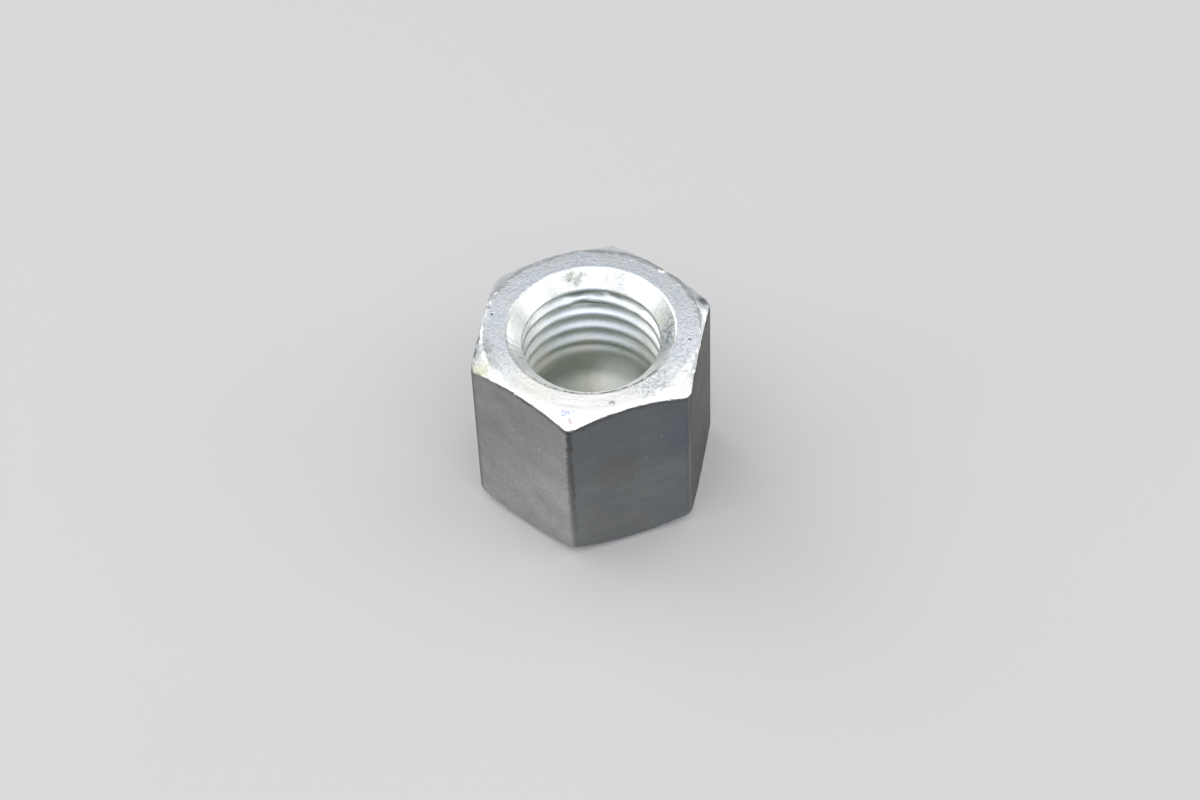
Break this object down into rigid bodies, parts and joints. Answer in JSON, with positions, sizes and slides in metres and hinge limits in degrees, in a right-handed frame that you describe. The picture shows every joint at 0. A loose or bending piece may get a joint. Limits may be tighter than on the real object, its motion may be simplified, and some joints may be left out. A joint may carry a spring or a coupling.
{
  "type": "closed cap nut",
  "caption": "Tall plain hexagon cap nut with a flat closed end and a blind threaded hole, in zinc plated steel. It closes the end of a stud or bolt.",
  "frame": {"origin": "centre of the closed end's face, on the nut's axis, where the nut stands", "axes": "+Z along the nut's axis, out of the threaded hole; +X through one of the hexagon's corners"},
  "size_m": [0.0194, 0.017, 0.0157],
  "materials": {
    "zinc_plated_steel": "satin bluish zinc plating over turned and forged steel, with fine pits and rubbed edges"
  },
  "bodies": {
    "root": {"cap_nut": "zinc_plated_steel"}
  },
  "joints": []
}
